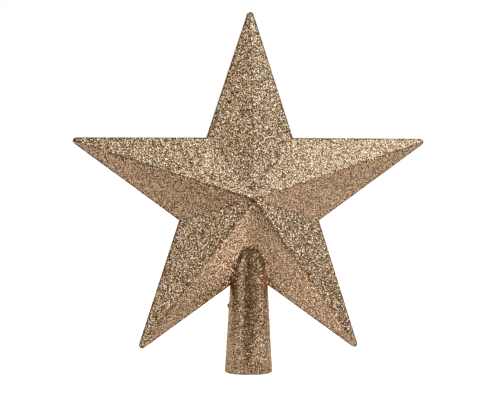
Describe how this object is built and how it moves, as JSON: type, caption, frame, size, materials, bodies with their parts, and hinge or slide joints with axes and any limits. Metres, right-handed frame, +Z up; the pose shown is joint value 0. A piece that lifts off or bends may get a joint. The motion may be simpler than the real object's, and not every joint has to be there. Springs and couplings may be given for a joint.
{
  "type": "christmas tree topper star",
  "caption": "Hollow faceted star in two moulded halves round a tapered socket that slips over a tree's top shoot, coated all over in champagne glitter.",
  "frame": {"origin": "centre of the socket's mouth, where the tree's top shoot goes in", "axes": "+Z up the socket to the star's top tip, +X to the right seen from the front, the front faces -Y and the halves meet in the plane y = 0"},
  "size_m": [0.1904, 0.044, 0.195],
  "materials": {
    "star_plastic": "champagne moulded polystyrene",
    "socket_plastic": "champagne moulded polystyrene",
    "glitter": "champagne metallised glitter in clear glue"
  },
  "bodies": {
    "root": {"front_shell": "star_plastic", "rear_shell": "star_plastic", "branch_socket": "socket_plastic", "front_glitter_coat": "glitter", "rear_glitter_coat": "glitter"}
  },
  "joints": []
}
